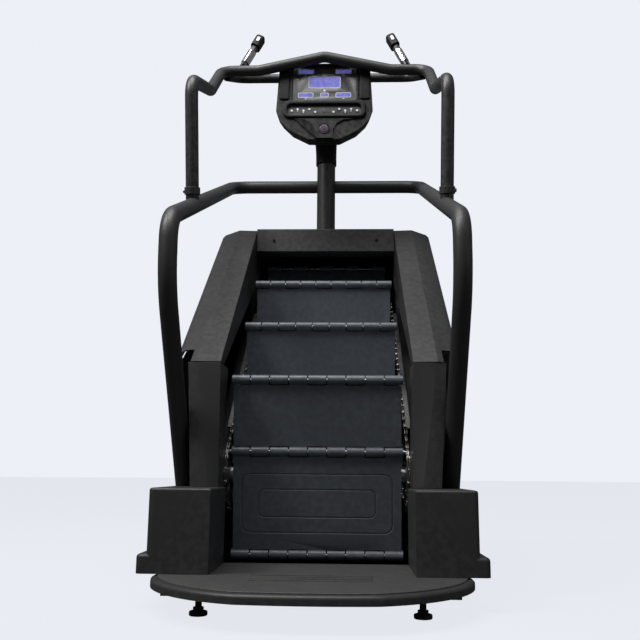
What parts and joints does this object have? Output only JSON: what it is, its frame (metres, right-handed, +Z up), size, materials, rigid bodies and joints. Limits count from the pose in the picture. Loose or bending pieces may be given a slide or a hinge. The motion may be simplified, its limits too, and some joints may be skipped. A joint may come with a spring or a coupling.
{
  "type": "stair climber",
  "caption": "Revolving-stair climber with hinged steps between two sloping side covers, handrail loops, a mast console and a low curved entry platform.",
  "frame": {"origin": "bottom centre of the whole machine, on the floor", "axes": "+Z up, +X to the right of a user on the stairs, the user boards from -Y and faces +Y"},
  "size_m": [0.88, 1.6999, 1.9935],
  "materials": {
    "black_frame_steel": "black powder coat, fine texture",
    "dark_cover_plastic": "fine-grained moulded black plastic",
    "grey_panel_plastic": "dark grey moulded plastic",
    "blue_grey_step": "satin blue-grey moulded step plates",
    "tread_rubber": "ribbed dark rubber",
    "pin_steel": "bright ground steel",
    "chain_steel": "oiled chain steel",
    "zinc_steel": "zinc-plated steel",
    "cast_wheel": "painted cast iron",
    "aluminium_housing": "cast aluminium",
    "belt_rubber": "ribbed black belt",
    "chrome_plate": "polished chrome",
    "console_black": "matt black console plastic",
    "display_grey": "satin dark grey overlay",
    "lcd_blue": "backlit blue-violet display window",
    "key_white": "dark membrane keys with white marks",
    "button_violet": "dark violet stop button",
    "button_white": "white gloss button"
  },
  "bodies": {
    "frame": {"roller_chains": "chain_steel", "shaft_bearings": "cast_wheel", "drive_belt": "belt_rubber", "brake_housing": "aluminium_housing", "side_frames": "black_frame_steel", "top_cross_members": "black_frame_steel", "guide_tracks": "zinc_steel", "base_frame": "black_frame_steel", "entry_platform": "dark_cover_plastic", "platform_tread_panel": "grey_panel_plastic", "upper_cover_left": "dark_cover_plastic", "upper_cover_right": "dark_cover_plastic", "lower_panels": "dark_cover_plastic", "side_skirts": "dark_cover_plastic", "top_crossbeam": "grey_panel_plastic", "beam_screws": "console_black", "far_shroud": "dark_cover_plastic", "power_inlet": "console_black", "base_box_left": "dark_cover_plastic", "base_box_right": "dark_cover_plastic", "lower_handrail": "black_frame_steel", "upper_handrail": "black_frame_steel", "rear_crossbar": "black_frame_steel", "mast": "black_frame_steel", "console_rear_shell": "console_black", "console_bezel": "console_black", "display_panel": "display_grey", "display_windows": "lcd_blue", "keypad": "key_white", "neck_sleeve": "console_black", "hand_grips": "black_frame_steel", "pulse_plates": "chrome_plate", "grip_heads": "console_black", "rail_collars": "black_frame_steel"},
    "level_steps": {"level_treads": "blue_grey_step", "level_risers": "blue_grey_step", "level_hinge_pins": "pin_steel"},
    "turning_riser": {"turning_riser": "blue_grey_step"},
    "hanging_tread": {"hanging_tread": "blue_grey_step", "hanging_hinge_pins": "pin_steel"},
    "folding_riser": {"folding_riser": "blue_grey_step"},
    "top_riser": {"top_riser": "blue_grey_step"},
    "return_steps": {"return_treads": "blue_grey_step", "return_risers": "blue_grey_step", "return_hinge_pins": "pin_steel"},
    "lower_shaft": {"lower_shaft": "pin_steel", "lower_sprockets": "zinc_steel"},
    "upper_shaft": {"upper_shaft": "pin_steel", "upper_sprockets": "zinc_steel", "drive_pulley": "aluminium_housing"},
    "brake_flywheel": {"brake_flywheel": "cast_wheel"},
    "wheel_left": {"wheel_left": "tread_rubber"},
    "wheel_right": {"wheel_right": "tread_rubber"},
    "foot_front_left": {"foot_front_left": "tread_rubber"},
    "foot_front_right": {"foot_front_right": "tread_rubber"},
    "foot_rear_left": {"foot_rear_left": "tread_rubber"},
    "foot_rear_right": {"foot_rear_right": "tread_rubber"},
    "stop_button": {"stop_button": "button_violet"},
    "thumb_button_left": {"thumb_button_left": "button_white"},
    "thumb_button_right": {"thumb_button_right": "button_white"}
  },
  "joints": [
    {"name": "stair_travel", "type": "slide", "parent": "frame", "child": "level_steps", "axis": [0, -0.7861, -0.6181], "range_m": [0, 0.025]},
    {"name": "turning_riser_hinge", "type": "hinge", "parent": "level_steps", "child": "turning_riser", "pos_m": [0, -0.3, 0.59891], "axis": [1, 0, 0], "range_deg": [0, 2.76]},
    {"name": "hanging_tread_hinge", "type": "hinge", "parent": "turning_riser", "child": "hanging_tread", "pos_m": [0, -0.26499, 0.39286], "axis": [1, 0, 0], "range_deg": [0, 8.78]},
    {"name": "folding_riser_hinge", "type": "hinge", "parent": "hanging_tread", "child": "folding_riser", "pos_m": [0, -0.22226, 0.09996], "axis": [1, 0, 0], "range_deg": [-3.02, 0]},
    {"name": "top_riser_hinge", "type": "hinge", "parent": "level_steps", "child": "top_riser", "pos_m": [0, 0.52, 1.012], "axis": [1, 0, 0], "range_deg": [0, 10.52]},
    {"name": "return_travel", "type": "slide", "parent": "frame", "child": "return_steps", "axis": [0, 0.7861, 0.6181], "range_m": [0, 0.02625]},
    {"name": "lower_shaft_turn", "type": "hinge", "parent": "frame", "child": "lower_shaft", "pos_m": [0, -0.19032, 0.32604], "axis": [1, 0, 0], "range_deg": [0, 15.01]},
    {"name": "upper_shaft_turn", "type": "hinge", "parent": "frame", "child": "upper_shaft", "pos_m": [0, 0.61023, 0.95549], "axis": [1, 0, 0], "range_deg": [0, 15.01]},
    {"name": "brake_turn", "type": "hinge", "parent": "frame", "child": "brake_flywheel", "pos_m": [0.352, 0.47, 0.56], "axis": [1, 0, 0], "range_deg": [0, 56.29]},
    {"name": "wheel_left_turn", "type": "hinge", "parent": "frame", "child": "wheel_left", "pos_m": [-0.376, 0.8, 0.046], "axis": [1, 0, 0], "continuous": true},
    {"name": "wheel_right_turn", "type": "hinge", "parent": "frame", "child": "wheel_right", "pos_m": [0.376, 0.8, 0.046], "axis": [1, 0, 0], "continuous": true},
    {"name": "foot_front_left_turn", "type": "hinge", "parent": "frame", "child": "foot_front_left", "pos_m": [-0.265, -0.63, 0], "axis": [0, 0, 1], "range_deg": [-180, 180]},
    {"name": "foot_front_right_turn", "type": "hinge", "parent": "frame", "child": "foot_front_right", "pos_m": [0.265, -0.63, 0], "axis": [0, 0, 1], "range_deg": [-180, 180]},
    {"name": "foot_rear_left_turn", "type": "hinge", "parent": "frame", "child": "foot_rear_left", "pos_m": [-0.328, 0.78, 0], "axis": [0, 0, 1], "range_deg": [-180, 180]},
    {"name": "foot_rear_right_turn", "type": "hinge", "parent": "frame", "child": "foot_rear_right", "pos_m": [0.328, 0.78, 0], "axis": [0, 0, 1], "range_deg": [-180, 180]},
    {"name": "stop_button_press", "type": "slide", "parent": "frame", "child": "stop_button", "axis": [0, 0.9936, -0.1132], "range_m": [0, 0.003], "stiffness_N_per_m": 900, "springref_m": -0.001},
    {"name": "thumb_button_right_press", "type": "slide", "parent": "frame", "child": "thumb_button_right", "axis": [0.1001, 0.9672, -0.2335], "range_m": [0, 0.0015], "stiffness_N_per_m": 900, "springref_m": -0.001},
    {"name": "thumb_button_left_press", "type": "slide", "parent": "frame", "child": "thumb_button_left", "axis": [-0.1001, 0.9672, -0.2335], "range_m": [0, 0.0015], "stiffness_N_per_m": 900, "springref_m": -0.001}
  ],
  "couplings": [
    {"joint": "turning_riser_hinge", "follows": "stair_travel", "rad_per_m": 1.836},
    {"joint": "hanging_tread_hinge", "follows": "stair_travel", "rad_per_m": 5.8387},
    {"joint": "folding_riser_hinge", "follows": "stair_travel", "rad_per_m": -2.0048},
    {"joint": "top_riser_hinge", "follows": "stair_travel", "rad_per_m": 6.9973},
    {"joint": "return_travel", "follows": "stair_travel", "ratio": 1},
    {"joint": "lower_shaft_turn", "follows": "stair_travel", "rad_per_m": 9.9806},
    {"joint": "upper_shaft_turn", "follows": "stair_travel", "rad_per_m": 9.9806},
    {"joint": "brake_turn", "follows": "stair_travel", "rad_per_m": 37.427}
  ]
}
